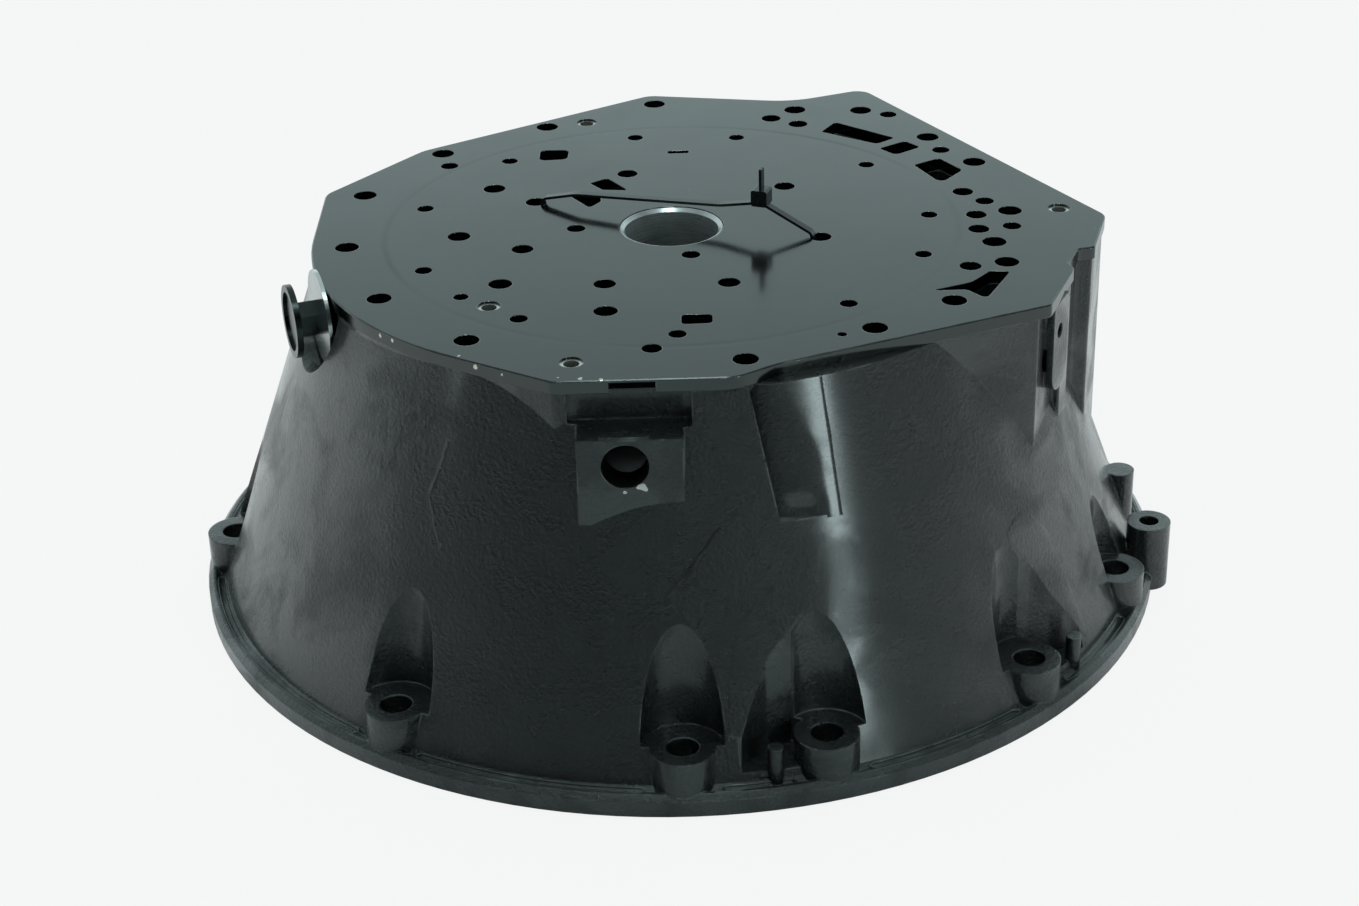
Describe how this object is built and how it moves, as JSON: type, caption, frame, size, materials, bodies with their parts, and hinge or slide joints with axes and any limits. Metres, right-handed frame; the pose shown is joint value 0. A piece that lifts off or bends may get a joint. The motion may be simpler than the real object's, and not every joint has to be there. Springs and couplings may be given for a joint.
{
  "type": "gearbox housing",
  "caption": "Bell-shaped cast housing with engine flange, wrench recesses, flat drilled intermediate plate, centre bush, line fitting and a cable tie looped across the plate",
  "frame": {"origin": "centre of the register bore on the engine face, on the shaft axis", "axes": "+Z is the shaft axis, from the engine face up to the plate; +Y points away from the access port in the front wall; +X is to the right seen from the port side"},
  "size_m": [0.4319, 0.43, 0.1863],
  "materials": {
    "casting": "dark gloss coat over rough sand-cast aluminium",
    "plate": "ground steel, dark oiled gloss",
    "bush": "fine turned",
    "dowel": "rolled sleeve",
    "fitting": "blackened turned steel",
    "washer": "bright plated",
    "tie": "moulded nylon"
  },
  "bodies": {
    "root": {"bell_housing": "casting", "intermediate_plate": "plate", "centre_bush": "bush", "dowel_sleeves": "dowel", "fitting_stub": "fitting", "fitting_washer": "washer", "fitting_cap": "fitting", "cable_tie": "tie"}
  },
  "joints": []
}
